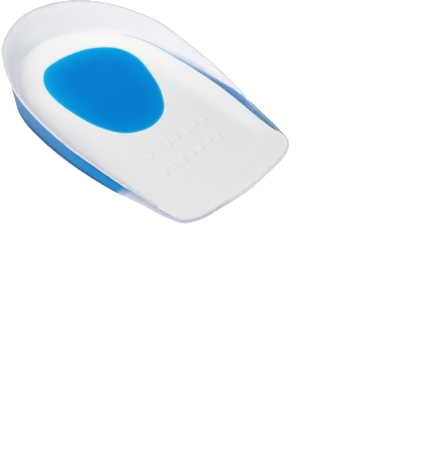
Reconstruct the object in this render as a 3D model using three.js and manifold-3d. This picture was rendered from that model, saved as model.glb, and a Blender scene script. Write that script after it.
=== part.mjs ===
// Gel heel cup insole: a clear silicone cup with a blue gel sole, a white bed and a soft blue heel pad.
// Millimetres, +Z up. The heel points to +Y, the toe end to -Y, and the cup stands on Z = 0.
import * as THREE from 'three';
import { mergeVertices } from 'three/addons/utils/BufferGeometryUtils.js';
import Module from 'manifold-3d';

// Overall sizes
const length = 105;
const width = 67;
const heelHeight = 20.7;
const toeThickness = 2.4;

// Cup wall: the flare's curve bends the outer face, the seat's curve thickens the wall down to the bed
const rimThickness = 1.2;
const footRadius = 1.1;
const flare = 5.2;
const flareCurve = 0.7;
const wallSeat = 5.4;
const seatCurve = 2;
const lipLedge = 0.1;

// White bed: the dish curves it up to its edge, and its middle rises between two shares of half the length
const bedEdgeHeight = 9.2;
const bedCentreHeight = 7.2;
const coverThickness = 0.8;
const bedDish = 3;
const bedRiseFrom = -0.88;
const bedRiseTo = 0.42;

// Blue sole: its skin on the cup's wall thins upwards to the lip, and its front end slants
const soleThickness = 2;
const soleWall = 1.7;
const soleLip = 0.45;
const soleEndLeft = -21.4;
const soleEndRight = -41;
const soleEndLean = 0.8;

// Heel pad
const padLength = 46.2;
const padWidth = 36.2;
const padCentreX = 1.4;
const padCentreY = 13.9;
const padCrown = 0.35;

// Gap between touching pieces, and how far a cutting solid reaches past what it cuts
const clearance = 0.3;
const overcut = 1;

// One row for each section of the right half of the cup, from the back of the heel round to the toe.
// across, along: the rim's place, as shares of half the width and half the length.
// rise: the rim's height above the toe thickness, as a share of the heel wall.
// flare: how far the foot of the wall lies inside the rim, as a share of the flare.
// seat: how far the bed's edge lies inside the rim, as a share of the wall's seat.
// bed: the bed's edge above the toe thickness, as a share of its height at the heel.
// left, right: how far up the wall the blue gel reaches on each side, as a share of the rim's height.
const sections = [
  { across: 0.000, along: 1.000, rise: 1.00, flare: 0.90, seat: 1.00, bed: 1.00, left: 0.46, right: 0.40 },
  { across: 0.290, along: 0.962, rise: 0.99, flare: 0.90, seat: 1.00, bed: 1.00, left: 0.55, right: 0.37 },
  { across: 0.550, along: 0.868, rise: 0.95, flare: 0.84, seat: 1.00, bed: 1.00, left: 0.68, right: 0.36 },
  { across: 0.758, along: 0.716, rise: 0.89, flare: 0.75, seat: 0.98, bed: 1.00, left: 0.81, right: 0.38 },
  { across: 0.893, along: 0.545, rise: 0.81, flare: 0.70, seat: 0.94, bed: 0.98, left: 0.89, right: 0.41 },
  { across: 0.972, along: 0.362, rise: 0.74, flare: 0.76, seat: 0.88, bed: 0.88, left: 0.91, right: 0.43 },
  { across: 0.995, along: 0.171, rise: 0.61, flare: 0.63, seat: 0.80, bed: 0.72, left: 0.90, right: 0.44 },
  { across: 0.997, along: -0.019, rise: 0.49, flare: 0.44, seat: 0.68, bed: 0.55, left: 0.89, right: 0.47 },
  { across: 0.978, along: -0.210, rise: 0.38, flare: 0.26, seat: 0.53, bed: 0.39, left: 0.88, right: 0.55 },
  { across: 0.938, along: -0.400, rise: 0.26, flare: 0.12, seat: 0.41, bed: 0.25, left: 0.86, right: 0.72 },
  { across: 0.888, along: -0.590, rise: 0.15, flare: 0.04, seat: 0.33, bed: 0.13, left: 0.80, right: 0.84 },
  { across: 0.850, along: -0.765, rise: 0.06, flare: 0.00, seat: 0.30, bed: 0.05, left: 0.78, right: 0.84 },
  { across: 0.803, along: -0.900, rise: 0.02, flare: 0.00, seat: 0.30, bed: 0.01, left: 0.78, right: 0.80 },
  { across: 0.645, along: -0.955, rise: 0.00, flare: 0.00, seat: 0.30, bed: 0.00, left: 0.78, right: 0.78 },
  { across: 0.330, along: -0.985, rise: 0.00, flare: 0.00, seat: 0.30, bed: 0.00, left: 0.78, right: 0.78 },
  { across: 0.000, along: -1.000, rise: 0.00, flare: 0.00, seat: 0.30, bed: 0.00, left: 0.78, right: 0.78 },
];

// The pad's outline, counter-clockwise from the heel, as shares of half its width and half its length
const padOutline = [
  { across: -0.19, along: 1.00 },
  { across: -0.49, along: 0.95 },
  { across: -0.78, along: 0.71 },
  { across: -0.95, along: 0.35 },
  { across: -1.00, along: -0.06 },
  { across: -0.91, along: -0.50 },
  { across: -0.64, along: -0.84 },
  { across: -0.19, along: -1.00 },
  { across: 0.27, along: -0.92 },
  { across: 0.65, along: -0.59 },
  { across: 0.89, along: -0.16 },
  { across: 1.00, along: 0.20 },
  { across: 0.91, along: 0.54 },
  { across: 0.57, along: 0.83 },
  { across: 0.15, along: 0.96 },
];

const stationsPerSection = 3;
const wallLevels = [0.3, 0.6, 0.85];
const seatLevels = [0.3, 0.6, 0.85, 1];
const bedRings = [0.88, 0.66, 0.34];
const soleRings = [0.7, 0.35];
const gelLevels = [0.15, 0.4, 0.7, 1];
const gelInnerLevels = [1, 0.7, 0.4];
const footSteps = 3;
const rimSteps = 4;
const padSteps = 60;
const weldDistance = 1e-4;

const wasm = await Module();
wasm.setup();

// The sections once round the cup: the right side as listed, then the left side back to the heel
const toe = sections.length - 1;
const ring = sections.map((row) => ({ ...row, gel: row.right }))
  .concat(sections.slice(1, toe).reverse().map((row) => ({ ...row, across: -row.across, gel: row.left })));
const rimCurve = new THREE.CatmullRomCurve3(
  ring.map((row) => new THREE.Vector3(row.across * width / 2, row.along * length / 2, 0)), true);

// One column of the sections, read smoothly anywhere on the way round (turn runs from 0 to 1)
function column(name, turn) {
  const place = turn * ring.length;
  const start = Math.floor(place);
  const part = place - start;
  const [before, from, to, after] = [-1, 0, 1, 2].map(
    (step) => ring[(start + step + ring.length) % ring.length][name]);
  const slopeFrom = (to - before) / 2;
  const slopeTo = (after - from) / 2;
  return from + part * (slopeFrom + part * (3 * (to - from) - 2 * slopeFrom - slopeTo
    + part * (slopeFrom + slopeTo - 2 * (to - from))));
}

// Everything that the walls need to know at one station of the way round
function station(turn) {
  const rim = rimCurve.getPoint(turn);
  const tangent = rimCurve.getTangent(turn);
  const heelWall = heelHeight - toeThickness;
  const rimHeight = toeThickness + column('rise', turn) * heelWall;
  return {
    rim,
    outward: new THREE.Vector3(-tangent.y, tangent.x, 0).normalize(),
    rimHeight,
    foot: column('flare', turn) * flare,
    seat: Math.max(column('seat', turn) * wallSeat, rimThickness + lipLedge + clearance),
    bedHeight: toeThickness + column('bed', turn) * (bedEdgeHeight - toeThickness),
    gelHeight: column('gel', turn) * rimHeight,
  };
}

const stationCount = ring.length * stationsPerSection;
const stations = Array.from({ length: stationCount }, (_, index) => station(index / stationCount));

// Height at which the rounding of the rim starts
function shoulder(at) {
  return at.rimHeight - rimThickness / 2;
}

// A point of one station's section, at a distance inside the rim and a height
function sectionPoint(at, inside, height) {
  return at.rim.clone().addScaledVector(at.outward, -inside).setZ(height);
}

// How far the outer face lies inside the rim at a height: the flare, and the rounding at the foot
function outerInset(at, height) {
  const climb = THREE.MathUtils.clamp(height / shoulder(at), 0, 1);
  const below = THREE.MathUtils.clamp(1 - height / footRadius, 0, 1);
  return at.foot * (1 - climb) ** flareCurve + footRadius * (1 - Math.sqrt(1 - below ** 2));
}

// Where the inner face starts, below the rounding of the rim, or level with the bed where the lip is thin
function innerTop(at) {
  return Math.max(shoulder(at), at.bedHeight);
}

// A point of the inner face, as its drop goes from 0 at the rim to 1 at the pocket that holds the bed
function innerPoint(at, drop) {
  const height = THREE.MathUtils.lerp(innerTop(at), at.bedHeight, drop);
  const footThickness = at.seat - clearance - outerInset(at, at.bedHeight);
  const thickness = THREE.MathUtils.lerp(rimThickness, footThickness, drop ** seatCurve);
  return sectionPoint(at, outerInset(at, height) + thickness, height);
}

// Height of the bed's upper face at one station, at a share of the way from the middle to the edge
function bedFace(at, share) {
  const edge = sectionPoint(at, at.seat, 0).multiplyScalar(share);
  const rise = THREE.MathUtils.smoothstep(edge.y / (length / 2), bedRiseFrom, bedRiseTo);
  const middle = toeThickness + rise * (bedCentreHeight - toeThickness);
  return THREE.MathUtils.lerp(middle, at.bedHeight, share ** bedDish);
}

// A ring of points inside the bed's edge, lowered by a depth under the bed's upper face
function bedRing(share, depth, grow = 0) {
  return stations.map((at) => {
    const edge = sectionPoint(at, at.seat - grow, 0);
    return edge.multiplyScalar(share).setZ(bedFace(at, share) - depth);
  });
}

// Height of the blue sole's inner floor: it thins towards the toe as the bed comes down
function soleFloor(at, share) {
  return soleThickness * bedFace(at, share) / bedCentreHeight;
}

function soleRing(share, raise) {
  return stations.map((at) => {
    const edge = sectionPoint(at, at.seat, 0);
    return edge.multiplyScalar(share).setZ(soleFloor(at, share) + raise);
  });
}

// A closed skin over rings of points, from the middle of the first ring to the middle of the last
function loft(rings) {
  const positions = [];
  const triangles = [];
  const count = rings[0].length;
  const middle = (points) => points.reduce((sum, point) => sum.add(point), new THREE.Vector3())
    .divideScalar(count);
  const poles = [rings[0], rings[rings.length - 1]].map((points) => middle(points).setX(0).setY(0));
  for (const point of [...rings.flat(), ...poles]) {
    positions.push(point.x, point.y, point.z);
  }
  const firstPole = rings.length * count;
  for (let index = 0; index < count; index += 1) {
    const next = (index + 1) % count;
    triangles.push(firstPole, index, next);
    for (let row = 0; row + 1 < rings.length; row += 1) {
      const [low, high] = [row * count, (row + 1) * count];
      triangles.push(low + index, high + index, high + next, low + index, high + next, low + next);
    }
    const last = firstPole - count;
    triangles.push(firstPole + 1, last + next, last + index);
  }
  const geometry = new THREE.BufferGeometry();
  geometry.setAttribute('position', new THREE.Float32BufferAttribute(positions, 3));
  geometry.setIndex(triangles);
  return geometry;
}

function solid(geometry) {
  const bare = geometry.clone();
  bare.deleteAttribute('normal');
  bare.deleteAttribute('uv');
  const merged = mergeVertices(bare, weldDistance);
  return new wasm.Manifold(new wasm.Mesh({
    numProp: 3,
    vertProperties: new Float32Array(merged.attributes.position.array),
    triVerts: new Uint32Array(merged.index.array),
  }));
}

function meshOf(name, body, colour, roughness) {
  const { vertProperties, triVerts } = body.getMesh();
  const geometry = new THREE.BufferGeometry();
  geometry.setAttribute('position', new THREE.Float32BufferAttribute(vertProperties, 3));
  geometry.setIndex(Array.from(triVerts));
  geometry.computeVertexNormals();
  const material = new THREE.MeshStandardMaterial({ color: colour, roughness, metalness: 0 });
  const mesh = new THREE.Mesh(geometry, material);
  mesh.name = name;
  return mesh;
}

// Clear cup with the pocket for the bed: foot, outer face, rounded rim, inner face, pocket floor
function cupShell() {
  const rings = [];
  for (let step = 0; step < footSteps; step += 1) {
    const height = footRadius * (1 - Math.cos(step / footSteps * Math.PI / 2));
    rings.push(stations.map((at) => sectionPoint(at, outerInset(at, height), height)));
  }
  const rimRadius = rimThickness / 2;
  for (const level of wallLevels) {
    rings.push(stations.map((at) => {
      const height = THREE.MathUtils.lerp(footRadius, shoulder(at), level);
      return sectionPoint(at, outerInset(at, height), height);
    }));
  }
  for (let step = 0; step <= rimSteps; step += 1) {
    const angle = step / rimSteps * Math.PI;
    rings.push(stations.map((at) => {
      const height = shoulder(at) + rimRadius * Math.sin(angle);
      const lowest = Math.cos(angle) < 0 ? innerTop(at) : 0;
      return sectionPoint(at, rimRadius * (1 - Math.cos(angle)), Math.max(height, lowest));
    }));
  }
  for (const level of seatLevels) {
    rings.push(stations.map((at) => innerPoint(at, level)));
  }
  for (const share of [1, ...bedRings]) {
    rings.push(bedRing(share, coverThickness + clearance, clearance));
  }
  return solid(loft(rings));
}

// White bed: a thin dished sheet lying in the cup's pocket
function coverSheet() {
  const under = [...bedRings].reverse().concat(1).map((share) => bedRing(share, coverThickness));
  const upper = [1, ...bedRings].map((share) => bedRing(share, 0));
  return solid(loft([...under, ...upper]));
}

// Blue sole round the foot of the cup. As a cutting solid it is grown by the gap, and reaches outwards.
function soleBowl(grow, reach) {
  const rings = [];
  for (let step = 0; step < footSteps; step += 1) {
    const height = footRadius * (1 - Math.cos(step / footSteps * Math.PI / 2));
    rings.push(stations.map((at) => sectionPoint(at, outerInset(at, height) - reach, height - reach)));
  }
  for (const level of gelLevels) {
    rings.push(stations.map((at) => {
      const height = THREE.MathUtils.lerp(footRadius, at.gelHeight + grow, level);
      return sectionPoint(at, outerInset(at, height) - reach, height);
    }));
  }
  for (const level of gelInnerLevels) {
    rings.push(stations.map((at) => {
      const floor = soleFloor(at, 1) + grow;
      const height = THREE.MathUtils.lerp(floor, at.gelHeight + grow, level);
      const skin = THREE.MathUtils.lerp(soleWall, soleLip, level) + grow;
      return sectionPoint(at, outerInset(at, height) + skin, height);
    }));
  }
  rings.push(stations.map((at) => {
    const inside = at.foot + footRadius + soleWall + grow;
    return sectionPoint(at, inside, soleFloor(at, 1) + grow);
  }));
  for (const share of soleRings) {
    rings.push(soleRing(share, grow));
  }
  return solid(loft(rings));
}

// The room that the blue sole keeps to: everything behind its slanting front end
function soleReach(grow) {
  const side = width;
  const slope = (soleEndRight - soleEndLeft) / width;
  const middle = (soleEndLeft + soleEndRight) / 2 - grow;
  const plan = new THREE.Shape([
    new THREE.Vector2(-side, middle - slope * side),
    new THREE.Vector2(side, middle + slope * side),
    new THREE.Vector2(side, length),
    new THREE.Vector2(-side, length),
  ]);
  const height = heelHeight + 2 * overcut;
  const room = new THREE.ExtrudeGeometry(plan, { depth: height, bevelEnabled: false });
  room.translate(0, 0, -overcut - grow);
  return solid(room.applyMatrix4(new THREE.Matrix4().makeShear(0, 0, 0, 0, 0, -soleEndLean)));
}

function padPrism(grow) {
  const points = padOutline.map((row) => new THREE.Vector3(
    padCentreX + row.across * padWidth / 2, padCentreY + row.along * padLength / 2, 0));
  const curve = new THREE.CatmullRomCurve3(points, true);
  const plan = Array.from({ length: padSteps }, (_, index) => {
    const point = curve.getPoint(index / padSteps);
    const tangent = curve.getTangent(index / padSteps);
    return new THREE.Vector2(point.x + tangent.y * grow, point.y - tangent.x * grow);
  });
  return solid(new THREE.ExtrudeGeometry(new THREE.Shape(plan), { depth: heelHeight, bevelEnabled: false }));
}

// Everything between the sole's floor and the crowned upper face of the pad
function padRoom() {
  const under = [...soleRings].reverse().concat(bedRings[0]).map((share) => soleRing(share, clearance));
  const upper = bedRings.map((share) => bedRing(share, -padCrown));
  return solid(loft([...under, ...upper]));
}

const padHole = padPrism(clearance);
const soleCutter = soleBowl(clearance, overcut).intersect(soleReach(clearance));

const insole = new THREE.Group();
insole.add(meshOf('cup_body', cupShell().subtract(soleCutter).subtract(padHole), 0xe4e6ee, 0.35));
insole.add(meshOf('sole_gel', soleBowl(0, 0).intersect(soleReach(0)), 0x2f84cf, 0.3));
insole.add(meshOf('top_cover', coverSheet().subtract(padHole), 0xf1f1f0, 0.6));
insole.add(meshOf('heel_pad', padPrism(0).intersect(padRoom()), 0x0084d6, 0.25));

export default insole;
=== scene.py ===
# %% [markdown]
# # A gel heel cup insole
# A heel cup is half an insole: it lies under the heel alone. This one is a clear silicone cup with a blue
# gel sole round its foot, a thin white bed inside, and a soft blue pad in the bed where the heel bone
# presses. All four pieces are moulded onto each other, so each is a smooth soft form with no edge that a
# saw would leave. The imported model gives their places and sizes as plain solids. This script models each
# piece again as a fine mesh from the same sections, and gives it the finish of the real material.

# %% Load the frame and keep its box
import math

import bmesh
import bpy
import numpy as np
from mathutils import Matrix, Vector


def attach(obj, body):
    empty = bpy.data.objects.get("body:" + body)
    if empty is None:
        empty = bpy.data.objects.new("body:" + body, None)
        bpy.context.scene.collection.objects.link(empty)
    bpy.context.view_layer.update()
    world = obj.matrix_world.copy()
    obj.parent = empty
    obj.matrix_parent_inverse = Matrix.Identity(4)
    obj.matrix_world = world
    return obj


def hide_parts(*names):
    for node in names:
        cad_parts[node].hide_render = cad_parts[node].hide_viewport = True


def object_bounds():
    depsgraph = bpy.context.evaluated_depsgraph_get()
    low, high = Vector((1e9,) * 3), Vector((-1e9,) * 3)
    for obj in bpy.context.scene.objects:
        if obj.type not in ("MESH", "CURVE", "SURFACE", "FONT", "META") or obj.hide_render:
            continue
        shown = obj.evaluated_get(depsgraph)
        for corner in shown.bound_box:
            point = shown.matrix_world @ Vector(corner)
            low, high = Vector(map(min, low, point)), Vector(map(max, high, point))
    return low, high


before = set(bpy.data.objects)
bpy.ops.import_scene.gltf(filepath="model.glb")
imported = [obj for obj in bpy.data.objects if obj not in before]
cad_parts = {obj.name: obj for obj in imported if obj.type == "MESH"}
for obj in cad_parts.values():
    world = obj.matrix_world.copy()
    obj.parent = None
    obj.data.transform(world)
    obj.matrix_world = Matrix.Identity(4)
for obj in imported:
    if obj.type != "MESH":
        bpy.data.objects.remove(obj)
cad_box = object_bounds()
print("nodes:", sorted(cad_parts))

# %% [markdown]
# ## Camera
# The camera comes first, because every later choice is judged through it. It stands where the photograph
# was taken: in front of the toe end, to the left, and about 44 degrees above the table. A long lens keeps
# the perspective as weak as it is there. The camera's place and angles come from a fit to the cup's
# outline.

# %% Camera
lens = 150
azimuth = math.radians(-47.9366)
elevation = math.radians(43.8908)
camera_place = Vector((-0.356016, -0.359853, 0.434311))

camera_data = bpy.data.cameras.new("camera")
camera_data.lens = lens
camera_data.clip_start = 0.01
camera_data.clip_end = 20
camera = bpy.data.objects.new("camera", camera_data)
back = Vector((
    math.sin(azimuth) * math.cos(elevation),
    -math.cos(azimuth) * math.cos(elevation),
    math.sin(elevation),
))
camera.location = camera_place
camera.rotation_mode = "QUATERNION"
camera.rotation_quaternion = back.to_track_quat("Z", "Y")
scene = bpy.context.scene
scene.collection.objects.link(camera)
scene.camera = camera
print("camera distance in metres:", round(camera_place.length, 3))

# %% [markdown]
# ## Shader maths
# A material is a web of nodes. Written node by node it is long and hard to read, so one small class wraps
# a socket and lets Python's own operators make the Math nodes. `dark + mask * 0.3` then reads as it does
# on paper. Every other kind of node comes from the method `node`: first its sockets, then its settings.

# %% A socket that can be calculated with
class Socket:
    """An output of a node, or the bare tree, that makes further nodes."""

    def __init__(self, tree, output=None):
        self.tree = tree
        self.output = output

    def into(self, socket):
        self.tree.links.new(self.output, socket)

    def node(self, kind, values, output=0, **settings):
        made = self.tree.nodes.new(kind)
        for name, setting in settings.items():
            setattr(made, name, setting)
        for name, value in values.items():
            if isinstance(value, Socket):
                value.into(made.inputs[name])
            else:
                made.inputs[name].default_value = value
        return Socket(self.tree, made.outputs[output])

    def maths(self, operation, first, second):
        return self.node("ShaderNodeMath", {0: first, 1: second}, operation=operation)

    def __add__(self, other):
        return self.maths("ADD", self, other)

    def __radd__(self, other):
        return self.maths("ADD", other, self)

    def __sub__(self, other):
        return self.maths("SUBTRACT", self, other)

    def __mul__(self, other):
        return self.maths("MULTIPLY", self, other)

    def __pow__(self, other):
        return self.maths("POWER", self, other)

    def ramp(self, low, high):
        """0 where the value is at low, 1 at high, and smooth between them."""
        return self.node("ShaderNodeMapRange", {"Value": self, "From Min": low, "From Max": high},
                         interpolation_type="SMOOTHSTEP")

    def mix(self, *pair):
        """A colour between two colours, by this value. Plain ones are 0 to 255, as on a screen."""
        first, second = [linear(tint) if isinstance(tint, tuple) else tint for tint in pair]
        return self.node("ShaderNodeMix", {0: self, 6: first, 7: second}, output=2, data_type="RGBA")

    def axis(self, letter):
        """One of the three coordinates of this place."""
        return self.node("ShaderNodeSeparateXYZ", {0: self}, output=letter)

    def noise(self, scale, detail=2):
        """Soft noise between 0 and 1 at this place, with cells of about 1 / scale metres."""
        return self.node("ShaderNodeTexNoise", {"Vector": self, "Scale": scale, "Detail": detail})


def linear(tint):
    """A linear colour from the usual 0 to 255 values of a screen."""
    shares = [channel / 255 for channel in tint]
    return (*[s / 12.92 if s <= 0.04045 else ((s + 0.055) / 1.055) ** 2.4 for s in shares], 1)


def new_material(name, values):
    """A material, its wrapped tree, its shader with these plain values, and its coordinates."""
    material = bpy.data.materials.new(name)
    material.use_nodes = True
    shader = material.node_tree.nodes["Principled BSDF"]
    for label, value in values.items():
        shader.inputs[label].default_value = value
    tree = Socket(material.node_tree)
    place = tree.node("ShaderNodeTexCoord", {}, output="Object")
    return material, tree, shader, place


# %% [markdown]
# ## Table and light
# The photograph has a seamless white ground, even light from all round, and no shadow to speak of. So the
# floor is a wide white sheet which also glows a little: that lifts it to white and leaves only the
# darkest contact of the cup. The sky is light above and a little darker towards the horizon, which is
# what gives clear silicone its soft grey edges. One large lamp high on the left leaves the inner side of
# the left wall in a light shade and makes the right wall the brighter one.

# %% Floor
floor_size = 6
floor_drop = 0.00005
floor_glow = 0.55

bpy.ops.mesh.primitive_plane_add(size=floor_size, location=(0, 0, -floor_drop))
floor = bpy.context.object
floor.name = "floor"
floor_material = new_material("white_ground", {
    "Base Color": (0.9, 0.9, 0.9, 1), "Roughness": 0.9,
    "Emission Color": (1, 1, 1, 1), "Emission Strength": floor_glow,
})[0]
floor.data.materials.append(floor_material)

# %% Sky and lamp
sky_top = 0.62
sky_horizon = 0.38
lamp_size = 0.5
lamp_power = 1.3
lamp_place = Vector((-0.2, 0.0, 0.42))

world = bpy.data.worlds.new("soft_sky")
world.use_nodes = True
scene.world = world
sky = Socket(world.node_tree)
direction = sky.node("ShaderNodeTexCoord", {}, output="Generated")
height = direction.axis("Z")
strength = sky_horizon + height.ramp(0.0, 0.9) * (sky_top - sky_horizon)
background = world.node_tree.nodes["Background"]
background.inputs["Color"].default_value = (1, 1, 1, 1)
strength.into(background.inputs["Strength"])

lamp_data = bpy.data.lights.new("lamp", "AREA")
lamp_data.shape = "DISK"
lamp_data.size = lamp_size
lamp_data.energy = lamp_power
lamp = bpy.data.objects.new("lamp", lamp_data)
lamp.location = lamp_place
lamp.rotation_mode = "QUATERNION"
lamp.rotation_quaternion = lamp_place.to_track_quat("Z", "Y")
scene.collection.objects.link(lamp)
scene.view_settings.view_transform = "Standard"
print("floor, sky and lamp are ready")

# %% [markdown]
# ## Finishes
# The finishes come before the shapes, because the trees that make some of the shapes hand them out. Three
# things are common to all four. Silicone lets light in and scatters it, so each has subsurface
# scattering. It is cast in a polished or a blasted mould, so its skin is smooth or finely matte: a small
# bump gives that. And where a colour follows the shape, such as the pale edge of the pad, the shape keeps
# a number for each of its points under a name, and the finish reads that name.

# %% Two helpers for finishes
def named(tree, name):
    """The number that the shape keeps for its points under a name."""
    return tree.node("ShaderNodeAttribute", {}, output="Fac", attribute_name=name)


def roughen(shader, height, depth):
    """Bump from a height between 0 and 1 that stands for a depth in metres."""
    bump = height.node("ShaderNodeBump", {"Height": height, "Distance": depth})
    bump.into(shader.inputs["Normal"])


# %% [markdown]
# ## Clear silicone
# Low down on the right, the wall is bonded to the blue sole and one sees straight into it. Towards the
# free rim and round the heel it is frosted and white. So the skin scatters light under its surface, and
# its alpha says how much of it is seen at all: "haze" is 0 where the wall is clear and 1 where it is
# frosted. The other names are for tints. "front" is the bare lip ahead of the blue sole: it is greyer
# towards its top ("level"), blue close to the sole ("ahead"), and it gets a painted highlight on its crest
# ("crest"). "far_line" is the blue strip under the right rim, and "far_foot" the blue gleam along the foot
# of the right wall. The lower wall on the left side lies in the shade: "hollow" paints light into its
# hollow beside the bed, and "near_wall" paints shade onto its inner face. Beside the bed the wall has a
# second skin without scattering ("shelf"), because light that scatters there would leak out under the bed
# and draw a dark seam that real moulded silicone doesn't have.

# %% Clear silicone
clear_alpha = 0.17
frost_alpha = 0.97

clear_material, tree, shader, place = new_material("clear_silicone", {
    "IOR": 1.41, "Roughness": 0.3,
    "Subsurface Weight": 1.0, "Subsurface Radius": (1.0, 1.0, 1.05), "Subsurface Scale": 0.003,
})
cloud = place.noise(scale=60)
across = place.axis("X")
along = place.axis("Y")
haze = named(tree, "haze")
deep = cloud.mix((206, 216, 236), (200, 210, 232))
frost = cloud.mix((242, 240, 242), (236, 235, 239))
frost = along.ramp(-0.038, -0.046).mix(frost, (226, 227, 231))
# Painted light: the matte skin beside the bed gets lighter towards the heel, as the bed does.
white = along.ramp(-0.03, 0.04).mix((231, 231, 231), (243, 243, 242))
# Painted light in the shaded hollow of the left wall, painted shade on its inner face, and the blue gleam
# at the foot of the right wall.
for name, frost_tint, white_tint in (
    ("hollow", (246, 249, 255), (245, 247, 252)),
    ("near_wall", (210, 214, 225), (214, 218, 229)),
    ("far_foot", (180, 206, 234), (178, 202, 232)),
):
    share = named(tree, name)
    frost = share.mix(frost, frost_tint)
    white = share.mix(white, white_tint)
lip = named(tree, "level").ramp(0.1, 0.9).mix((196, 200, 206), (170, 174, 188))
lip = across.ramp(-0.016, -0.004).mix(lip, (200, 200, 201))
lip = (named(tree, "ahead") * 0.7).mix(lip, (130, 152, 186))
# Painted highlight along the crest of the bare lip.
lip = (named(tree, "crest") * 0.6).mix(lip, (228, 229, 232))
base = named(tree, "front").mix(haze.mix(deep, frost), lip)
line = along.ramp(-0.03, -0.038).mix((128, 170, 214), (136, 166, 186))
base = named(tree, "far_line").mix(base, line)
base.into(shader.inputs["Base Color"])
(clear_alpha + haze * (frost_alpha - clear_alpha)).into(shader.inputs["Alpha"])
roughen(shader, place.noise(scale=140), depth=0.00005)
skin = tree.node("ShaderNodeBsdfPrincipled", {"Base Color": white, "Roughness": 0.6})
frosted = Socket(tree.tree, shader.outputs["BSDF"])
both = tree.node("ShaderNodeMixShader", {0: named(tree, "shelf"), 1: frosted, 2: skin})
both.into(clear_material.node_tree.nodes["Material Output"].inputs["Surface"])

# %% Frosted rim
rim_material, tree, shader, place = new_material("frosted_rim", {
    "IOR": 1.41, "Roughness": 0.35,
    "Subsurface Weight": 1.0, "Subsurface Radius": (1.0, 1.0, 1.2), "Subsurface Scale": 0.001,
})
cloud = place.noise(scale=300)
across = place.axis("X")
along = place.axis("Y")
sides = cloud.mix((200, 216, 240), (192, 209, 236))
# Painted light makes the bead lighter on the right side, against the shade along the far rim.
sides = across.ramp(0.01, 0.025).mix(sides, (246, 246, 247))
heel = cloud.mix((224, 224, 229), (216, 217, 223))
along.ramp(0.0, 0.03).mix(sides, heel).into(shader.inputs["Base Color"])
roughen(shader, place.noise(scale=900), depth=0.00001)

# %% [markdown]
# ## Blue gel of the sole
# The sole is a soft blue gel with a matte skin. It is deepest in the middle of its length, greyer towards
# the heel, and it fades into the clear silicone at its front end. On the near side a painted contact
# shadow darkens its foot, where it meets the table, and painted shade darkens a strip along its lip under
# the rim. Towards the heel that lip is paler instead. Painted light makes its right side lighter.

# %% Blue gel of the sole
sole_material, tree, shader, place = new_material("blue_sole_gel", {
    "Roughness": 0.4, "Specular IOR Level": 0.02,
    "Subsurface Weight": 0.3, "Subsurface Radius": (0.2, 0.6, 1.0), "Subsurface Scale": 0.002,
})
cloud = place.noise(scale=150)
across = place.axis("X")
along = place.axis("Y")
level = named(tree, "level")
base = along.ramp(-0.012, 0.03).mix((8, 130, 190), (62, 116, 162))
# Painted light makes the right side of the sole lighter.
base = across.ramp(0.005, 0.02).mix(base, (76, 164, 216))
base = (cloud * 0.35).mix(base, (40, 110, 190))
near_side = across.ramp(0.01, -0.01)
base = (level.ramp(0.75, 1.0) * along.ramp(-0.01, 0.015) * 0.35).mix(base, (120, 150, 190))
# Painted shade: a darker strip along the near side's lip, under the rim.
base = (level.ramp(0.7, 0.95) * along.ramp(0.012, -0.01) * near_side * 0.6).mix(base, (16, 84, 140))
# Painted contact shadow along the near side's foot, where it meets the table.
base = (level.ramp(0.34, 0.1) * near_side * 0.9).mix(base, (8, 64, 108))
ending = level.ramp(0.2, 0.9).mix((168, 182, 206), (110, 140, 184))
base = named(tree, "near_end").ramp(0.1, 0.9).mix(base, ending)
base.into(shader.inputs["Base Color"])
roughen(shader, cloud, depth=0.00004)

# %% [markdown]
# ## White silicone of the bed
# The bed is matte white with a grain as fine as paper's, and it is painted a little lighter at the heel. A
# breath of blue shines through its thin edge beside the pad and beside the right wall. Its left slope
# turns away from the lamp and gets painted shade, and its right slope gets painted light. Near its edge it
# takes a pale bluish tint like the wall's, with painted shade on the left side.

# %% White silicone of the bed
bed_material, tree, shader, place = new_material("white_bed", {
    "Roughness": 0.6, "Specular IOR Level": 0.3, "Subsurface Weight": 0.3, "Subsurface Scale": 0.0003,
})
cloud = place.noise(scale=80)
across = place.axis("X")
along = place.axis("Y")
# Painted light: the bed gets lighter towards the heel.
base = along.ramp(-0.022, 0.036).mix((231, 231, 231), (243, 243, 241))
base = (cloud * 0.4).mix(base, (226, 226, 226))
# Painted shade on the bed's left slope, and painted light on its right slope.
base = (named(tree, "left_slope") ** 2 * 0.9).mix(base, (214, 213, 221))
base = (named(tree, "right_slope") * 0.6).mix(base, (248, 246, 243))
# Near its edge the bed takes a pale bluish tint like the wall's, and painted shade on the left side.
border = across.ramp(0.0, -0.02).mix((234, 236, 244), (206, 209, 219))
border = along.ramp(0.002, -0.034).mix(border, (231, 232, 237))
base = (named(tree, "near_edge") ** 2 * 0.7).mix(base, border)
base = named(tree, "glow").mix(base, (232, 248, 255))
base = named(tree, "near_pad").ramp(0.3, 0.8).mix(base, (208, 243, 255))
base.into(shader.inputs["Base Color"])
roughen(shader, place.noise(scale=1400, detail=4), depth=0.00003)

# %% [markdown]
# ## Blue gel of the pad
# The pad is the softest gel and the purest blue. More light comes back through it near its edge: there it
# turns cyan, most of all at the heel, and the last half millimetre is a pale teal line.

# %% Blue gel of the pad
cyan_at_toe = 0.35
cyan_at_heel = 0.9

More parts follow.
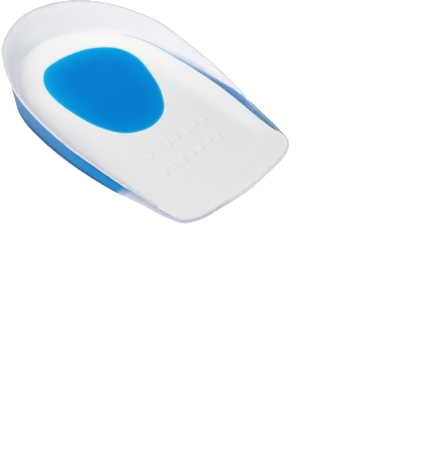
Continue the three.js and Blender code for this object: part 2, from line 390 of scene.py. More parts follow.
pad_material, tree, shader, place = new_material("blue_pad_gel", {
    "Roughness": 0.45, "Specular IOR Level": 0.02,
    "Subsurface Weight": 0.3, "Subsurface Radius": (0.1, 0.5, 1.0), "Subsurface Scale": 0.002,
})
cloud = place.noise(scale=60)
along = place.axis("Y")
near_edge = named(tree, "near_edge")
cyan = near_edge ** 2 * (cyan_at_toe + along.ramp(0.002, 0.032) * (cyan_at_heel - cyan_at_toe))
base = cloud.mix((0, 122, 202), (0, 128, 208))
base = cyan.mix(base, (0, 172, 230))
base = (near_edge.ramp(0.9, 0.98) * 0.9).mix(base, (52, 170, 206))
base.into(shader.inputs["Base Color"])
roughen(shader, place.noise(scale=500), depth=0.00002)

# %% [markdown]
# ## Sections of the cup
# A moulded cup has no straight line in it, but it follows a rule: go once round the rim, and at each
# place the wall has a height, a flare, a thickness and a bed beside it. A table gives these for sixteen
# places of one half, as shares of the real sizes, from the back of the heel to the toe end. A smooth
# curve through the rows gives every place between them. The halves differ in how high the blue gel
# stands, and the left one stands in a little: "pull" moves its rim inwards and "tuck" its foot, as shares
# of one millimetre.

# %% Sizes in metres
half_length = cad_box[1].y
heel_height = cad_box[1].z
half_width = 0.0335
toe_thickness = 0.0024
rim_thickness = 0.0012
foot_radius = 0.0011
flare_size = 0.0052
flare_curve = 0.7
side_play = 0.001
wall_seat = 0.0054
seat_curve = 3.5
lip_ledge = 0.0004
bed_edge_height = 0.0092
bed_centre_height = 0.0072
bed_dish = 4
bed_rise_from = -0.88
bed_rise_to = 0.42
cover_thickness = 0.0008
bond = 0.00004

# %% Table of sections
columns = ["across", "along", "rise", "flare", "seat", "bed", "left", "right", "pull", "tuck"]
sections = [
    (0.000, 1.000, 1.00, 0.90, 1.00, 1.00, 0.46, 0.40, 0.0, 0.0),
    (0.290, 0.962, 0.99, 0.90, 1.00, 1.00, 0.55, 0.37, 0.0, 0.0),
    (0.550, 0.868, 0.95, 0.84, 1.00, 1.00, 0.68, 0.36, 0.1, 0.0),
    (0.758, 0.716, 0.89, 0.75, 0.98, 1.00, 0.76, 0.38, 0.7, 0.0),
    (0.893, 0.545, 0.81, 0.70, 0.94, 0.98, 0.87, 0.41, 0.8, 0.5),
    (0.972, 0.362, 0.74, 0.76, 0.88, 0.88, 0.90, 0.43, 0.7, 0.5),
    (0.995, 0.171, 0.61, 0.63, 0.80, 0.72, 0.89, 0.44, 0.6, 0.4),
    (0.997, -0.019, 0.49, 0.44, 0.68, 0.55, 0.89, 0.47, 0.6, 0.6),
    (0.978, -0.210, 0.38, 0.26, 0.53, 0.39, 0.90, 0.55, 0.7, 0.7),
    (0.938, -0.400, 0.26, 0.12, 0.41, 0.25, 0.88, 0.77, 0.5, 0.5),
    (0.888, -0.590, 0.15, 0.04, 0.33, 0.13, 0.80, 0.95, 0.3, 0.3),
    (0.850, -0.765, 0.06, 0.00, 0.30, 0.05, 0.78, 0.95, 0.1, 0.1),
    (0.790, -0.897, 0.02, 0.00, 0.30, 0.01, 0.78, 0.90, 0.0, 0.0),
    (0.643, -0.954, 0.00, 0.00, 0.30, 0.00, 0.78, 0.78, 0.0, 0.0),
    (0.330, -0.985, 0.00, 0.00, 0.30, 0.00, 0.78, 0.78, 0.0, 0.0),
    (0.000, -1.000, 0.00, 0.00, 0.30, 0.00, 0.78, 0.78, 0.0, 0.0),
]


def once_round():
    """The table once round the cup: the right half as listed, then the left half back to the heel."""
    table = {name: np.array([row[i] for row in sections]) for i, name in enumerate(columns)}
    ring = {name: np.concatenate([values, values[-2:0:-1]]) for name, values in table.items()}
    ring["across"][len(sections):] *= -1
    ring["gel"] = np.concatenate([table["right"], table["left"][-2:0:-1]])
    for name in ("pull", "tuck"):
        ring[name][:len(sections)] = 0
    return ring


ring = once_round()
print("sections round the cup:", len(ring["across"]))

# %% [markdown]
# The rim is a closed curve through the table's places. Its spacing is uneven, so the curve is the
# centripetal kind of Catmull-Rom spline, which never loops or overshoots between two near points. The
# other columns are plain numbers along the way, so the even kind will do. Both are one formula with
# different step lengths.

# %% Smooth curves through the table
def spline(values, steps, turn):
    """Catmull-Rom curve through a closed list of values, at turns from 0 to 1, with the steps' lengths."""
    count = len(values)
    place = turn * count
    start = np.floor(place).astype(int)
    part = place - start
    index = [(start + offset) % count for offset in (-1, 0, 1, 2)]
    before, here, after, beyond = [values[i] for i in index]
    step_in, step, step_out = [steps[i] for i in index[:3]]
    slope = (here - before) / step_in - (after - before) / (step_in + step) + (after - here) / step
    next_slope = (after - here) / step - (beyond - here) / (step + step_out) + (beyond - after) / step_out
    slope, next_slope = slope * step, next_slope * step
    rise = after - here
    return here + part * (slope + part * (3 * rise - 2 * slope - next_slope
                                          + part * (slope + next_slope - 2 * rise)))


def smoothstep(value, low, high):
    share = np.clip((value - low) / (high - low), 0, 1)
    return share * share * (3 - 2 * share)


def closed_curve(x, y, turn):
    """Points and outward directions of the closed centripetal curve through x and y."""
    steps = np.sqrt(np.hypot(np.roll(x, -1) - x, np.roll(y, -1) - y))
    nudge = 1e-4
    points = np.stack([spline(x, steps, turn), spline(y, steps, turn)], -1)
    ahead = np.stack([spline(x, steps, turn + nudge), spline(y, steps, turn + nudge)], -1)
    behind = np.stack([spline(x, steps, turn - nudge), spline(y, steps, turn - nudge)], -1)
    along = (ahead - behind) / np.linalg.norm(ahead - behind, axis=1, keepdims=True)
    return points, along


station_count = 360
turns = np.arange(station_count) / station_count
even = np.ones(len(ring["across"]))
read = {name: spline(values, even, turns) for name, values in ring.items()}

rim, rim_along = closed_curve(ring["across"] * half_width + ring["pull"] * side_play,
                              ring["along"] * half_length, turns)
outward = np.stack([-rim_along[:, 1], rim_along[:, 0]], -1)
rim_height = toe_thickness + read["rise"] * (heel_height - toe_thickness)
foot = read["flare"] * flare_size + (read["tuck"] - read["pull"]) * side_play
seat = np.maximum(read["seat"] * wall_seat, rim_thickness + lip_ledge) - read["pull"] * side_play
bed_height = toe_thickness + read["bed"] * (bed_edge_height - toe_thickness)
gel_height = read["gel"] * rim_height
shoulder = rim_height - rim_thickness / 2
print("rim from", rim.min(0).round(4), "to", rim.max(0).round(4))

# %% [markdown]
# ## From curves to skins
# One way round the cup is now 360 places. A ring of points follows the cup round at one level, and a
# stack of rings, closed with a point in the middle of the first and of the last, is a skin. This is a
# loft. It needs no modelling by eye, and the number of rings sets how smooth the form is.

# %% Rings and lofts
def ring_at(inside, height):
    """The ring that lies some way inside the rim, at a height: both may change along the way round."""
    plan = rim - outward * np.broadcast_to(inside, turns.shape)[:, None]
    return np.column_stack([plan, np.broadcast_to(height, turns.shape)])


def blend(first, second, share):
    return first + (second - first) * share


def outer_inset(height, foot=foot, shoulder=shoulder):
    """How far the outer face lies inside the rim at a height: the flare, and the rounding at the foot."""
    climb = np.clip(height / shoulder, 0, 1)
    below = np.clip(1 - height / foot_radius, 0, 1)
    return foot * (1 - climb) ** flare_curve + foot_radius * (1 - np.sqrt(1 - below ** 2))


def make_piece(name, points, faces):
    """A closed mesh object with its faces pointing outwards and smooth shading."""
    mesh = bpy.data.meshes.new(name)
    mesh.from_pydata([tuple(point) for point in points], [], faces)
    work = bmesh.new()
    work.from_mesh(mesh)
    bmesh.ops.recalc_face_normals(work, faces=work.faces)
    work.to_mesh(mesh)
    work.free()
    mesh.shade_smooth()
    piece = bpy.data.objects.new(name, mesh)
    scene.collection.objects.link(piece)
    return piece


def loft(name, rings, low_middle, high_middle):
    """A closed skin over rings of points, from the middle of the first ring to the middle of the last."""
    count = len(rings[0])
    points = np.concatenate([*rings, [low_middle], [high_middle]])
    first_pole = len(rings) * count
    faces = []
    for i in range(count):
        j = (i + 1) % count
        faces.append((first_pole, i, j))
        for low in range(0, first_pole - count, count):
            faces.append((low + i, low + count + i, low + count + j, low + j))
        last = first_pole - count
        faces.append((first_pole + 1, last + j, last + i))
    return make_piece(name, points, faces)


# %% The bed's upper face
edge = rim - outward * seat[:, None]


def beside(values, x, y, ring=rim):
    """A value of a ring's points, such as the rim's height, at the angle of any points."""
    return np.interp(np.arctan2(x, y), np.arctan2(*ring.T), values, period=2 * math.pi)


def depth_inside(ring, x, y):
    """How far any points lie inside a ring: less than 0 outside it."""
    return beside(np.hypot(*ring.T), x, y, ring) - np.hypot(x, y)


def bed_surface(x, y):
    """Height of the bed's upper face at any place: low in the middle, and curved up to its edge."""
    share = np.hypot(x, y) / beside(np.hypot(*edge.T), x, y, edge)
    side = beside(bed_height, x, y, edge)
    rise = smoothstep(y / half_length, bed_rise_from, bed_rise_to)
    middle = toe_thickness + rise * (bed_centre_height - toe_thickness)
    return blend(middle, side, share ** bed_dish)


def bed_rings(shares, depth):
    """Rings of the bed at shares of the way to its edge, lowered by a depth under its upper face."""
    rings = []
    for share in shares:
        x, y = edge[:, 0] * share, edge[:, 1] * share
        rings.append(np.column_stack([x, y, bed_surface(x, y) - depth]))
    return rings


bed_middle = float(bed_surface(np.array([0.0]), np.array([0.0]))[0])
print("bed height in the middle, in millimetres:", round(bed_middle * 1000, 2))

# %% [markdown]
# ## Clear cup
# The cup is one closed shell: round the foot, up the flared outside, over the rounded rim, down the
# inside where the wall grows thicker, and across the pocket that holds the bed. The blue sole and the pad
# are cast into it, so their room is cut out of it afterwards. The room is smaller than they are by four
# hundredths of a millimetre: the faces are bonded, and an air gap between clear and blue would shine like
# foil.

# %% Cup shell
foot_steps = 6
wall_steps = 26
rim_steps = 14
inner_steps = 26
pocket_shares = np.linspace(1, 0.04, 24)


def outer_rings(top, steps, reach=0.0):
    """Rings of the outer face, round the foot and up to a height, moved outwards by reach."""
    rings = []
    for step in range(foot_steps):
        height = foot_radius * (1 - math.cos(step / foot_steps * math.pi / 2))
        rings.append(ring_at(outer_inset(height) - reach, height - reach))
    for level in np.arange(steps) / steps:
        height = blend(foot_radius, top, level)
        rings.append(ring_at(outer_inset(height) - reach, height))
    return rings


def cup_rings():
    rings = outer_rings(shoulder, wall_steps)
    inner_top = np.maximum(shoulder, bed_height)
    radius = rim_thickness / 2
    for angle in np.linspace(0, math.pi, rim_steps + 1):
        lowest = inner_top if math.cos(angle) < 0 else 0
        height = np.maximum(shoulder + radius * math.sin(angle), lowest)
        rings.append(ring_at(radius * (1 - math.cos(angle)), height))
    seat_thickness = seat - outer_inset(bed_height)
    for drop in np.linspace(0, 1, inner_steps + 1)[1:]:
        height = blend(inner_top, bed_height, drop)
        thickness = blend(rim_thickness, seat_thickness, drop ** seat_curve)
        rings.append(ring_at(outer_inset(height) + thickness, height))
    rings += bed_rings(pocket_shares, cover_thickness - bond)
    return rings


cup = loft("clear_cup", cup_rings(), (0, 0, 0), (0, 0, bed_middle - cover_thickness + bond))
print("cup shell faces:", len(cup.data.polygons))

# %% [markdown]
# ## Blue sole
# The sole is a shallow bowl. Its outside is the cup's own outside, so it follows the same flare, and its
# wall thins to a lip which climbs high on one side and stays low on the other. In front it ends in a
# slanting face.

# %% Sizes of the sole
sole_thickness = 0.002
sole_wall = 0.0017
sole_lip = 0.00045
sole_end_left = -0.0214
sole_end_right = -0.041
sole_end_lean = 0.8
sole_end_slope = (sole_end_right - sole_end_left) / (2 * half_width)
sole_end_middle = (sole_end_left + sole_end_right) / 2
sole_steps = 18
lip_steps = 6
floor_shares = np.linspace(0.9, 0.05, 12)
overcut = 0.001


def sole_floor(x, y):
    """Height of the sole's inner floor, which thins towards the toe as the bed comes down."""
    return sole_thickness * bed_surface(x, y) / bed_centre_height


def sole_bowl(name, grow=0.0, reach=0.0):
    """The bowl of the sole, its inside moved by grow and its outside by reach."""
    top = gel_height + grow
    radius = (sole_lip + grow) / 2
    rings = outer_rings(top - radius, sole_steps, reach)
    for angle in np.linspace(0, math.pi, lip_steps + 1):
        height = top - radius + radius * math.sin(angle)
        out = reach if math.cos(angle) > 0 else 0
        rings.append(ring_at(outer_inset(height) + radius * (1 - math.cos(angle)) - out, height))
    base = sole_floor(edge[:, 0], edge[:, 1]) + grow
    for level in np.linspace(1, 0, sole_steps)[1:-1]:
        height = blend(base, top - radius, level)
        skin = blend(sole_wall, sole_lip, level) + grow
        rings.append(ring_at(outer_inset(height) + skin, height))
    rings.append(ring_at(foot + foot_radius + sole_wall + grow, base))
    for share in floor_shares:
        x, y = edge[:, 0] * share, edge[:, 1] * share
        rings.append(np.column_stack([x, y, sole_floor(x, y) + grow]))
    middle = sole_thickness * bed_middle / bed_centre_height + grow
    return loft(name, rings, (0, 0, -reach), (0, 0, middle))


# %% Cutting one piece with another
def cut(piece, tool, operation):
    """Applies a boolean to the piece and removes the tool."""
    modifier = piece.modifiers.new("cut", "BOOLEAN")
    modifier.operation = operation
    modifier.solver = "EXACT"
    modifier.object = tool
    apply_modifiers(piece)
    bpy.data.objects.remove(tool)


def apply_modifiers(piece):
    """Turns what the modifiers make into the piece's own plain mesh."""
    evaluated = piece.evaluated_get(bpy.context.evaluated_depsgraph_get())
    mesh = bpy.data.meshes.new_from_object(evaluated)
    piece.modifiers.clear()
    piece.data = mesh


def sole_room(name, grow=0.0):
    """Everything behind the sole's slanting front face, as a sheared block."""
    side = half_width * 2
    front = sole_end_middle - grow
    plan = [(-side, front - sole_end_slope * side), (side, front + sole_end_slope * side),
            (side, 2 * half_length), (-side, 2 * half_length)]
    low, high = -2 * overcut, 2 * heel_height
    points = [(x, y - sole_end_lean * z, z) for z in (low, high) for x, y in plan]
    faces = [(3, 2, 1, 0), (4, 5, 6, 7), (0, 1, 5, 4), (1, 2, 6, 5), (2, 3, 7, 6), (3, 0, 4, 7)]
    return make_piece(name, points, faces)


sole = sole_bowl("blue_sole")
cut(sole, sole_room("room"), "INTERSECT")
sole_cutter = sole_bowl("sole_cutter", grow=-bond, reach=overcut)
cut(sole_cutter, sole_room("room", grow=-bond), "INTERSECT")
cut(cup, sole_cutter, "DIFFERENCE")
print("sole faces:", len(sole.data.polygons), "cup faces:", len(cup.data.polygons))

# %% [markdown]
# ## Pad
# The pad's outline is an egg with one flat flank, drawn as a closed curve through fifteen places. The pad
# fills a hole in the bed and in the cup and stands on the sole.

# %% Outline of the pad
pad_half_length = 0.0231
pad_half_width = 0.0181
pad_centre = np.array([0.0014, 0.0139])
pad_crown = 0.00035
pad_edge = 0.00035
pad_count = 240
pad_outline = [
    (-0.19, 1.00), (-0.50, 0.96), (-0.80, 0.73), (-0.96, 0.37), (-0.99, -0.06),
    (-0.91, -0.50), (-0.66, -0.86), (-0.19, -1.02), (0.28, -0.93), (0.66, -0.60),
    (0.91, -0.16), (1.02, 0.21), (0.93, 0.55), (0.58, 0.84), (0.15, 0.97),
]
outline_places = np.array(pad_outline) * (pad_half_width, pad_half_length) + pad_centre
pad_turns = np.arange(pad_count) / pad_count
pad_rim, pad_along = closed_curve(outline_places[:, 0], outline_places[:, 1], pad_turns)
pad_outward = np.stack([pad_along[:, 1], -pad_along[:, 0]], -1)


def pad_ring(inside, share, height):
    """The pad's outline moved inwards, drawn together to a share of its size, at a height."""
    plan = pad_centre + (pad_rim - pad_outward * inside - pad_centre) * share
    return np.column_stack([plan, np.broadcast_to(height, pad_turns.shape)])


def pad_prism(name):
    """A straight block of the pad's outline, a bond smaller, that cuts the hole for the pad."""
    rings = [pad_ring(bond, 1, z) for z in (-overcut, heel_height)]
    return loft(name, rings, (*pad_centre, -overcut), (*pad_centre, heel_height))


cut(cup, pad_prism("pad_hole"), "DIFFERENCE")
print("cup faces:", len(cup.data.polygons))

# %% [markdown]
# ## White bed
# The bed is a thin sheet that dips in the middle and rises to its edge, with a hole for the pad. Its
# height follows one rule, so it is made by Geometry Nodes. The script gives a flat round net of points,
# each with its share of the way to the edge and the height of the edge beside it. The tree lifts the net
# by the rule and makes it as thick as the sheet: the net is pushed down, which makes the sides and the
# underside, and the first net closes the top. The sizes are named inputs, so the same tree would make a
# deeper or a thicker bed.

# %% Trees of Geometry Nodes
def new_tree(name, inputs):
    """A tree with a geometry input and named inputs: the wrapped tree, and its inputs by name."""
    made = bpy.data.node_groups.new(name, "GeometryNodeTree")
    made.interface.new_socket("Geometry", in_out="INPUT", socket_type="NodeSocketGeometry")
    for label, kind in inputs.items():
        made.interface.new_socket(label, in_out="INPUT", socket_type=kind)
    made.interface.new_socket("Geometry", in_out="OUTPUT", socket_type="NodeSocketGeometry")
    given = made.nodes.new("NodeGroupInput")
    return Socket(made), {output.name: Socket(made, output) for output in given.outputs}


def end_tree(tree, geometry, material):
    """Makes real faces of all instances, gives them the material and leads them out of the tree."""
    real = tree.node("GeometryNodeRealizeInstances", {"Geometry": geometry})
    painted = tree.node("GeometryNodeSetMaterial", {"Geometry": real, "Material": material})
    leaving = tree.tree.nodes.new("NodeGroupOutput")
    painted.into(leaving.inputs["Geometry"])


def grow(name, mesh, tree, values):
    """Runs a tree on a mesh and keeps what it makes as a plain mesh."""
    piece = bpy.data.objects.new(name, mesh)
    scene.collection.objects.link(piece)
    modifier = piece.modifiers.new("tree", "NODES")
    modifier.node_group = tree.tree
    for socket in tree.tree.interface.items_tree:
        if socket.name in values:
            modifier[socket.identifier] = values[socket.name]
    apply_modifiers(piece)
    return piece


def points_of(piece):
    places = np.empty(len(piece.data.vertices) * 3, np.float32)
    piece.data.vertices.foreach_get("co", places)
    return places.reshape(-1, 3).astype(float)


def store(mesh, **numbers):
    """Keeps one number for each point of a mesh, or several, each under its name."""
    for name, values in numbers.items():
        attribute = mesh.attributes.new(name, "FLOAT", "POINT")
        attribute.data.foreach_set("value", np.asarray(values, np.float32))


# %% Flat net of the bed
bed_shares = np.linspace(0.03, 1, 48)


def flat_net(shares):
    """A round net with a point in the middle, a ring for each share, and its two attributes."""
    plan = np.concatenate([[(0.0, 0.0)], *[edge * share for share in shares]])
    faces = [(0, 1 + i, 1 + (i + 1) % station_count) for i in range(station_count)]
    for low in range(1, len(plan) - station_count, station_count):
        for i in range(station_count):
            j = (i + 1) % station_count
            faces.append((low + i, low + station_count + i, low + station_count + j, low + j))
    mesh = bpy.data.meshes.new("bed_net")
    mesh.from_pydata([(x, y, 0.0) for x, y in plan], [], faces)
    if mesh.polygons[0].normal.z < 0:
        mesh.flip_normals()
    share = np.concatenate([[0.0], np.repeat(shares, station_count)])
    side = np.concatenate([[bed_height[0]], np.tile(bed_height, len(shares))])
    store(mesh, share=share, side=side)
    return mesh


# %% Tree of the bed
number = "NodeSocketFloat"
bed_tree, given = new_tree("dished_bed", {
    "Toe height": number, "Centre height": number, "Rise from": number, "Rise to": number,
    "Dish": number, "Thickness": number,
})
share = bed_tree.node("GeometryNodeInputNamedAttribute", {"Name": "share"})
side = bed_tree.node("GeometryNodeInputNamedAttribute", {"Name": "side"})
spot = bed_tree.node("GeometryNodeInputPosition", {})
along = spot.axis("Y")
rise = along.ramp(given["Rise from"], given["Rise to"])
middle = given["Toe height"] + rise * (given["Centre height"] - given["Toe height"])
lift = bed_tree.node("ShaderNodeCombineXYZ", {"Z": middle + (side - middle) * share ** given["Dish"]})
top = bed_tree.node("GeometryNodeSetPosition", {"Geometry": given["Geometry"], "Offset": lift})
down = bed_tree.node("ShaderNodeCombineXYZ", {"Z": given["Thickness"] * -1})
turned = bed_tree.node("GeometryNodeFlipFaces", {"Mesh": top})
pushed = {"Mesh": turned, "Offset": down, "Offset Scale": 1.0, "Individual": False}
below = bed_tree.node("GeometryNodeExtrudeMesh", pushed, mode="FACES")
both = bed_tree.node("GeometryNodeJoinGeometry", {"Geometry": below})
top.into(both.output.node.inputs["Geometry"])
merged = bed_tree.node("GeometryNodeMergeByDistance", {"Geometry": both, "Distance": 1e-6})
end_tree(bed_tree, merged, bed_material)

# %% Bed
bed = grow("white_bed_sheet", flat_net(bed_shares), bed_tree, {
    "Toe height": toe_thickness, "Centre height": bed_centre_height,
    "Rise from": bed_rise_from * half_length, "Rise to": bed_rise_to * half_length,
    "Dish": float(bed_dish), "Thickness": cover_thickness,
})
bed.data.shade_smooth()
bed_points = points_of(bed)
print("bed sheet faces:", len(bed.data.polygons), "height to", bed_points[:, 2].max().round(5))
cut(bed, pad_prism("pad_hole"), "DIFFERENCE")
print("bed faces with the hole:", len(bed.data.polygons))

# %% Pad body
pad_steps = 20


def pad_rings():
    """From the middle of the underside, out to the edge, over its rounding and back to the middle."""
    rings = []
    for share in np.linspace(0.05, 1, pad_steps):
        ring = pad_ring(0, share, 0)
        ring[:, 2] = sole_floor(ring[:, 0], ring[:, 1]) - bond
        rings.append(ring)
    for angle in np.linspace(0, math.pi / 2, 7):
        ring = pad_ring(pad_edge * (1 - math.cos(angle)), 1, 0)
        ring[:, 2] = bed_surface(ring[:, 0], ring[:, 1]) - pad_edge * (1 - math.sin(angle))
        rings.append(ring)
    for share in np.linspace(1, 0.05, 2 * pad_steps)[1:]:
        ring = pad_ring(pad_edge, share, 0)
        ring[:, 2] = bed_surface(ring[:, 0], ring[:, 1]) + pad_crown * (1 - share ** 3)
        rings.append(ring)
    return rings


pad_low = float(sole_floor(*pad_centre[:, None])[0]) - bond
pad_high = float(bed_surface(*pad_centre[:, None])[0]) + pad_crown
pad = loft("gel_pad", pad_rings(), (*pad_centre, pad_low), (*pad_centre, pad_high))
print("pad faces:", len(pad.data.polygons))

# %% [markdown]
# ## Bead of the rim
# The free edge of the cup is a thin frosted bead, thickest round the heel. It follows the rim, so
# Geometry Nodes sweep a round profile along it: the script gives the path as a closed line of points,
# each with its radius. At the toe and at the right front the edge is bare, so the path sinks into the rim
# there.

# %% Tree of the bead
bead_at_heel = 0.00048
bead_at_toe = 0.00022
bead_stand = 0.00002

bead_tree, given = new_tree("rim_bead", {"Sides": "NodeSocketInt"})
path = bead_tree.node("GeometryNodeMeshToCurve", {"Mesh": given["Geometry"]})
radius = bead_tree.node("GeometryNodeInputNamedAttribute", {"Name": "radius_here"})
profile = bead_tree.node("GeometryNodeCurvePrimitiveCircle",
                         {"Resolution": given["Sides"], "Radius": 1.0})
tube = bead_tree.node("GeometryNodeCurveToMesh",
                      {"Curve": path, "Profile Curve": profile, "Scale": radius})
end_tree(bead_tree, tube, rim_material)

# %% Bead
bare_across = (0.016, 0.026)
bare_along = (0.018, 0.026)
bead_begins = (0.01, 0.12)

bead_radius = blend(bead_at_toe, bead_at_heel, np.clip(read["rise"], 0, 1))
bare_corner = smoothstep(rim[:, 0], *bare_across) * smoothstep(-rim[:, 1], *bare_along)
bead_shown = smoothstep(read["rise"], *bead_begins) * (1 - bare_corner)
bead_depth = blend(rim_thickness / 2, bead_radius - bead_stand, bead_shown)
bead_path = ring_at(bead_depth, rim_height - bead_depth)
path_mesh = bpy.data.meshes.new("rim_path")
path_mesh.from_pydata([tuple(point) for point in bead_path],
                      [(i, (i + 1) % station_count) for i in range(station_count)], [])
store(path_mesh, radius_here=bead_radius)
bead = grow("rim_bead", path_mesh, bead_tree, {"Sides": 16})
bead.data.shade_smooth()
bead_points = points_of(bead)
print("bead faces:", len(bead.data.polygons))
print("bead from", bead_points.min(0).round(5), "to", bead_points.max(0).round(5))

# %% [markdown]
# ## Pips of the bed
# In front of the pad the bed carries low raised pips, which keep the heel from slipping. They repeat and
# lie on a curved surface, so Geometry Nodes place them: a grid of points, every other row moved by half a
# step, is dropped onto the bed by a ray, and each point gets a flat oval dome that stands square to the
# bed.

# %% Tree of the pips
whole = "NodeSocketInt"
drop_height = 0.03
pip_tree, given = new_tree("bed_pips", {
    "Columns": whole, "Rows": whole, "Seed": whole, "Width": number, "Depth": number, "Across": number,
    "Along": number, "Height": number, "Middle": number, "Bed": "NodeSocketObject",
})
grid = pip_tree.node("GeometryNodeMeshGrid", {
    "Size X": given["Width"], "Size Y": given["Depth"],
    "Vertices X": given["Columns"], "Vertices Y": given["Rows"],
})
spot = pip_tree.node("GeometryNodeInputPosition", {})
x = spot.axis("X")
y = spot.axis("Y")
row = pip_tree.maths("DIVIDE", y * (given["Rows"] - 1), given["Depth"]) + (given["Rows"] - 1) * 0.5
odd = pip_tree.maths("FLOORED_MODULO", pip_tree.maths("ROUND", row, 0), 2)
step = pip_tree.maths("DIVIDE", given["Width"], given["Columns"] - 1)
ready = pip_tree.node("ShaderNodeCombineXYZ", {
    "X": x + (odd - 0.5) * step * 0.5, "Y": y + given["Middle"], "Z": drop_height,
})
lifted = pip_tree.node("GeometryNodeSetPosition", {"Geometry": grid, "Position": ready})
bed_shape = pip_tree.node("GeometryNodeObjectInfo", {"Object": given["Bed"]}, output="Geometry")
ray = {"Target Geometry": bed_shape, "Ray Direction": (0, 0, -1), "Ray Length": 2 * drop_height}
landing = pip_tree.node("GeometryNodeRaycast", ray, output="Hit Position")
facing = pip_tree.node("GeometryNodeRaycast", ray, output="Hit Normal")
turn = pip_tree.node("FunctionNodeAlignRotationToVector", {"Vector": facing}, axis="Z")
kept = pip_tree.node("GeometryNodeStoreNamedAttribute",
                     {"Geometry": lifted, "Name": "turn", "Value": turn},
                     data_type="QUATERNION", domain="POINT")
landed = pip_tree.node("GeometryNodeSetPosition", {"Geometry": kept, "Position": landing})
ball = pip_tree.node("GeometryNodeMeshUVSphere", {"Segments": 28, "Rings": 14, "Radius": 1.0})
half = pip_tree.node("ShaderNodeCombineXYZ", {
    "X": given["Across"] * 0.5, "Y": given["Along"] * 0.5, "Z": given["Height"],
})
dome = pip_tree.node("GeometryNodeTransform", {"Geometry": ball, "Scale": half})
own_size = pip_tree.node("FunctionNodeRandomValue", {"Min": 0.97, "Max": 1.03, "Seed": given["Seed"]},
                         output="Value", data_type="FLOAT")
kept_turn = pip_tree.node("GeometryNodeInputNamedAttribute", {"Name": "turn"}, data_type="QUATERNION")
placed = pip_tree.node("GeometryNodeInstanceOnPoints", {
    "Points": landed, "Instance": dome, "Rotation": kept_turn, "Scale": own_size,
})
end_tree(pip_tree, placed, bed_material)

# %% Pips
pips = grow("bed_pips", bpy.data.meshes.new("nothing"), pip_tree, {
    "Columns": 7, "Rows": 2, "Seed": 3, "Width": 0.026, "Depth": 0.009, "Across": 0.0021, "Along": 0.0033,
    "Height": 0.00035, "Middle": -0.0235, "Bed": bed,
})
pips.data.shade_smooth()
pip_points = points_of(pips)
print("pip faces:", len(pips.data.polygons))
print("pips from", pip_points.min(0).round(5), "to", pip_points.max(0).round(5))

# %% [markdown]
# ## Numbers for the finishes
# Now that the shapes are there, each keeps the numbers that its finish reads. They come from the same
# curves as the shapes: how far a point lies inside the rim, how high it stands above the gel, how near it
# is to an edge. Every number is 0 where nothing special happens, so a piece without one gets its plain
# finish.

# %% Two measures for the finishes
def behind_front(x, y, z):
    """How far any points lie behind the slanting front face of the sole."""
    return y - (sole_end_middle + sole_end_slope * x - sole_end_lean * z)


def patch(x, y, across, at_heel, at_toe):
    """1 in a patch of one side, and 0 outside it: three pairs say where it fades."""
    return smoothstep(x, *across) * smoothstep(-y, *at_heel) * smoothstep(y, *at_toe)


# %% Where the cup's points lie
lip_fade = 0.003
blue_reach = 0.009
blue_levels = (0.2, 0.9)
crest_heights = (-0.0005, -0.0002)

x, y, z = points_of(cup).T
inside = depth_inside(rim, x, y)
above_bed = z - beside(bed_height, x, y)
over_bed = above_bed / beside(rim_height - bed_height, x, y).clip(min=bond)
level = z / beside(rim_height, x, y)
before_front = -behind_front(x, y, z)
outer = inside < outer_inset(z, beside(foot, x, y), beside(shoulder, x, y)) + rim_thickness / 2
front = outer * smoothstep(before_front, -lip_fade, 0)
ahead = smoothstep(-before_front, -blue_reach, 0) * smoothstep(level, *blue_levels)
# Where the painted highlight lies: the top of the rim.
crest = smoothstep(z - beside(rim_height, x, y), *crest_heights)
store(cup.data, level=level, front=front, ahead=ahead, crest=crest)
print("cup points ahead of the blue sole:", int(front.sum()))

# %% [markdown]
# On the right the blue shows through the clear wall right up to the rim. Towards the toe corner the strip
# gets narrower, because the white of the bed spreads over the ledge there, and it ends as a thin line.

# %% Blue strip at the right corner
strip_from = 0.036
strip_to = 0.047
strip_widths = (0.0027, 0.0006)
strip_fade = 0.0002
corner_across = (0.01, 0.02)
corner_along = (0.035, 0.037)
line_patch = ((0.012, 0.024), (0.024, 0.031), (-0.0515, -0.043))
band_width = 1.8 * rim_thickness
band_edge = 0.4

strip_width = np.interp(-y, (strip_from, strip_to), strip_widths)
corner = smoothstep(inside - strip_width, -strip_fade, strip_fade)
corner = corner * smoothstep(x, *corner_across) * smoothstep(-y, *corner_along)
far_line = patch(x, y, *line_patch) * (1 - corner)
top_band = smoothstep(-inside, -band_width, -rim_thickness)
milky_line = far_line * top_band
far_line = far_line * smoothstep(top_band, 0, band_edge)
store(cup.data, far_line=far_line)
print("cup points on the far line:", int((far_line > 0.5).sum()))

# %% [markdown]
# The wall is clear only where it is bonded to the blue gel on the right. Everywhere else it is frosted:
# above the gel, round the heel, on the left, at the toe end and ahead of the sole.

# %% Where the wall is frosted
haze_depth = 0.003
heel_along = (0.016, 0.036)
left_across = (0, 0.01)
toe_along = (0.041, 0.046)
gel_ends = (-0.002, 0.0005)

over_gel = smoothstep(z - beside(gel_height, x, y), 0, haze_depth)
heel = smoothstep(y, *heel_along)
left = smoothstep(-x, *left_across)
toe = smoothstep(-y, *toe_along)
past_gel = smoothstep(before_front, *gel_ends)
haze = np.maximum.reduce([over_gel, heel, left, toe, past_gel, milky_line, corner])
store(cup.data, haze=haze)
print("haze from", haze.min().round(2), "to", haze.max().round(2))

# %% [markdown]
# The inner side of the wall meets the bed in a hollow. There the matte skin takes over. The left side lies
# in the shade: light is painted into its hollow and shade onto its inner face. On the right a blue gleam
# from the sole comes up through the foot of the wall.

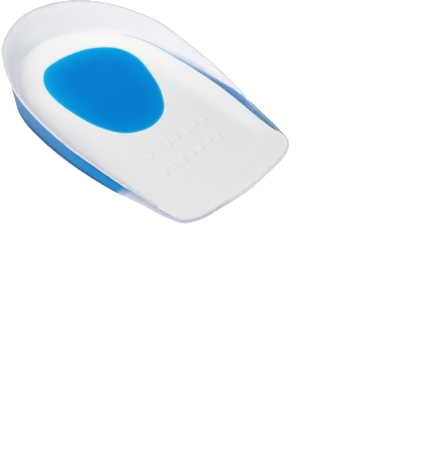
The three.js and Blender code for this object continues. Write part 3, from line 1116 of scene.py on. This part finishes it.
# %% Inner side of the wall
shelf_height = 0.0018
foot_levels = (-0.9, -0.4)
foot_across = (0, 0.016)
hollow_top = 0.9
hollow_across = (-0.012, 0.012)
wall_patch = ((0.014, 0.024), (-0.034, -0.02), (-0.036, -0.026))
wall_depths = (0.4 * rim_thickness, 0.8 * rim_thickness)
gleam_along = (-0.006, 0.008)
gleam_heights = (0.0033, 0.0019)
gleam_patch = ((0.012, 0.02), (-0.014, -0.003), (-0.04, -0.032))

beside_bed = smoothstep(-above_bed, -shelf_height, -shelf_height / 5)
left_foot = smoothstep(-over_bed, *foot_levels) * smoothstep(-x, *foot_across)
shelf = np.maximum(beside_bed, left_foot) * (above_bed > -bond)
shelf = shelf * (1 - outer) * haze * (1 - far_line)
# Painted light in the shaded hollow of the left wall, beside the bed.
hollow = smoothstep(-over_bed, -hollow_top, 0) * smoothstep(-x, *hollow_across)
hollow = hollow * (over_bed > 0) * (1 - toe)
# Painted shade on the inner face of the left wall.
near_wall = patch(-x, y, *wall_patch) * (1 - outer) * smoothstep(inside, *wall_depths)
gleam_height = np.interp(y, gleam_along, gleam_heights)
far_foot = smoothstep(-above_bed, -gleam_height, 0) * (above_bed > -bond) * (1 - outer)
far_foot = far_foot * patch(x, y, *gleam_patch)
store(cup.data, shelf=shelf, hollow=hollow, near_wall=near_wall, far_foot=far_foot)
print("cup points of the shelf beside the bed:", int((shelf > 0.5).sum()))

# %% Sole
end_fade = 0.0038

x, y, z = points_of(sole).T
near_end = np.clip(1 - behind_front(x, y, z) / end_fade, 0, 1)
store(sole.data, near_end=near_end, level=z / beside(gel_height, x, y))
print("sole points near its end:", int((near_end > 0).sum()))

# %% Bed and pad
edge_fade = 0.004
slope_width = 0.013
hole_fade = 0.0015
pad_fade = 0.011
left_begins = (0.004, 0.016)
left_at_toe = (-0.036, -0.004)
left_at_heel = (0.012, 0.032)
heel_fade = 0.35
right_begins = (0.006, 0.018)
right_at_toe = (-0.044, -0.03)
right_full = 0.6
glow_edge = (0.78, 0.92)
glow_patch = ((0.005, 0.015), (-0.034, -0.02), (-0.041, -0.035))


def inside_pad(x, y):
    """How far any points lie inside the pad's outline: less than 0 outside it."""
    return depth_inside(pad_rim - pad_centre, x - pad_centre[0], y - pad_centre[1])


x, y, _ = points_of(bed).T
to_edge = depth_inside(edge, x, y)
near_edge = np.clip(1 - to_edge / edge_fade, 0, 1)
slope = np.clip(1 - to_edge / slope_width, 0, 1)
# Where painted shade lies on the left slope and painted light on the right slope.
left_slope = slope * smoothstep(-x, *left_begins) * smoothstep(y, *left_at_toe)
left_slope = left_slope * (1 - heel_fade * smoothstep(y, *left_at_heel))
right_slope = smoothstep(slope, 0, right_full) * smoothstep(x, *right_begins)
right_slope = right_slope * smoothstep(y, *right_at_toe)
glow = smoothstep(near_edge, *glow_edge) * patch(x, y, *glow_patch)
near_pad = np.clip(1 + inside_pad(x, y) / hole_fade, 0, 1)
store(bed.data, left_slope=left_slope, right_slope=right_slope)
store(bed.data, near_edge=near_edge, glow=glow, near_pad=near_pad)
store(pad.data, near_edge=np.clip(1 - inside_pad(*points_of(pad).T[:2]) / pad_fade, 0, 1))
print("numbers kept for the bed and the pad")

# %% [markdown]
# ## What stands for what
# Each piece takes the place of its solid in the imported model, rides on the one body that there is, and
# gets its finish. The bead and the pips have no solid of their own.

# %% What stands for what
crease = math.radians(25)
for piece, node, slot, material in (
    (cup, "cup_body", "clear_silicone", clear_material),
    (sole, "sole_gel", "blue_sole_gel", sole_material),
    (bed, "top_cover", "white_bed", bed_material),
    (pad, "heel_pad", "blue_pad_gel", pad_material),
    (bead, None, "clear_silicone", rim_material),
    (pips, None, "white_bed", bed_material),
):
    piece.data.materials.clear()
    piece.data.materials.append(material)
    piece.data.set_sharp_from_angle(angle=crease)
    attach(piece, "root")
    if node:
        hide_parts(node)
